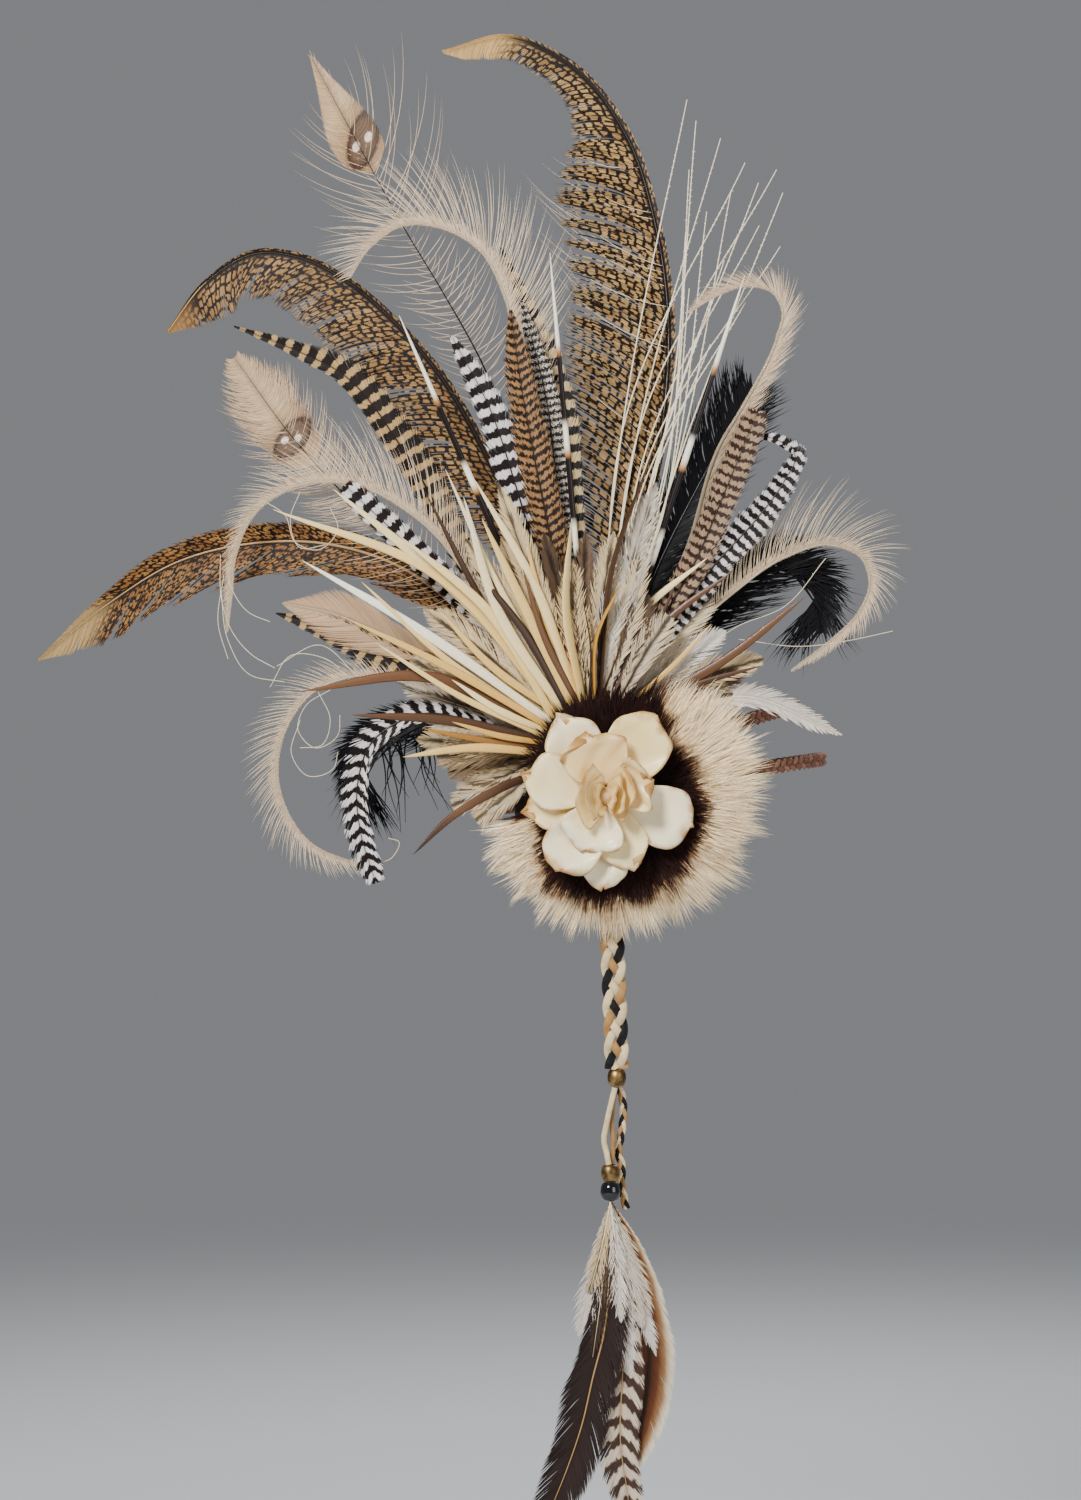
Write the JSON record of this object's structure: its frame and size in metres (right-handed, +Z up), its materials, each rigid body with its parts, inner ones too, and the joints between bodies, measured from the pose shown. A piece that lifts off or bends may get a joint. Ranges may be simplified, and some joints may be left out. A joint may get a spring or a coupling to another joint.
{
  "type": "feathered headdress",
  "caption": "Side-worn feathered headdress: a fan of mixed feathers, quills and blades on a fur and flower rosette, two braided headbands and a beaded feather drop.",
  "frame": {"origin": "middle of the wearer's head at the height of the lower headband", "axes": "+X towards the wearer's face, +Z up, -Y out through the rosette on the right side of the head"},
  "size_m": [0.533, 0.2399, 0.9203],
  "materials": {
    "felt": "dark brown wool felt",
    "bound_quills": "bare quill ends bound and glued in dark thread",
    "fur": "long cream fur, dark brown towards the middle",
    "petal": "stiff ivory petals with tan stained edges",
    "suede": "brown suede lace in a flat braid",
    "braid": "cream, tan and black lace in a flat braid",
    "cream_cord": "cream suede lace",
    "tan_cord": "tan suede lace",
    "brass": "aged brass, dark in the grooves",
    "black_bead": "polished black",
    "pheasant": "tan cells in a dark brown network",
    "barred_pheasant": "cream with narrow black bars",
    "peacock": "pale pinkish cream, loose fringe",
    "grizzly": "white with black chevron bars",
    "mottled": "orange brown with dark bars and pale edges",
    "black_plume": "fluffy black",
    "porcupine": "ivory with dark brown bands",
    "hackle": "cream and grey white, dark along the shaft",
    "biot": "cream and brown stripped quill blades",
    "horn": "ochre to dark brown, slightly glossy",
    "drop_brown": "dark brown with a tan shaft"
  },
  "bodies": {
    "root": {"backing": "felt", "barred_tail_centre": "barred_pheasant", "barred_tail_left": "barred_pheasant", "barred_tail_low": "barred_pheasant", "biots_back": "biot", "biots_front": "biot", "black_bead": "black_bead", "black_plume_left": "black_plume", "black_plume_right": "black_plume", "black_plume_top": "black_plume", "blades_right": "biot", "brass_bead_lower": "brass", "brass_bead_upper": "brass", "drop_braid": "braid", "drop_cord_cream": "cream_cord", "drop_cord_tan": "tan_cord", "drop_feather_barred": "grizzly", "drop_feather_brown": "drop_brown", "drop_feather_russet": "horn", "drop_tail_braid": "braid", "flower_bud": "petal", "fur_disc": "fur", "grizzly_hanging": "grizzly", "grizzly_left": "grizzly", "grizzly_middle": "grizzly", "grizzly_right": "grizzly", "hackles_side": "hackle", "hackles_top": "hackle", "herl_spray": "peacock", "horn_low": "horn", "lower_strap": "suede", "mottled_rust": "mottled", "mottled_spotted": "mottled", "mottled_tan": "mottled", "peacock_eye_high": "peacock", "peacock_eye_low": "peacock", "peacock_sword_a": "peacock", "peacock_sword_b": "peacock", "peacock_sword_c": "peacock", "peacock_sword_d": "peacock", "peacock_sword_e": "peacock", "petal_bottom": "petal", "petal_bottom_left": "petal", "petal_bottom_right": "petal", "petal_inner_front": "petal", "petal_inner_right": "petal", "petal_inner_top": "petal", "petal_left_high": "petal", "petal_left_low": "petal", "petal_right": "petal", "petal_top_left": "petal", "petal_top_right": "petal", "pheasant_tail_left": "pheasant", "pheasant_tail_low": "pheasant", "pheasant_tail_top": "pheasant", "porcupine_quill_left": "porcupine", "porcupine_quill_middle": "porcupine", "porcupine_quill_right": "porcupine", "root_core": "bound_quills", "upper_strap": "suede"}
  },
  "joints": []
}
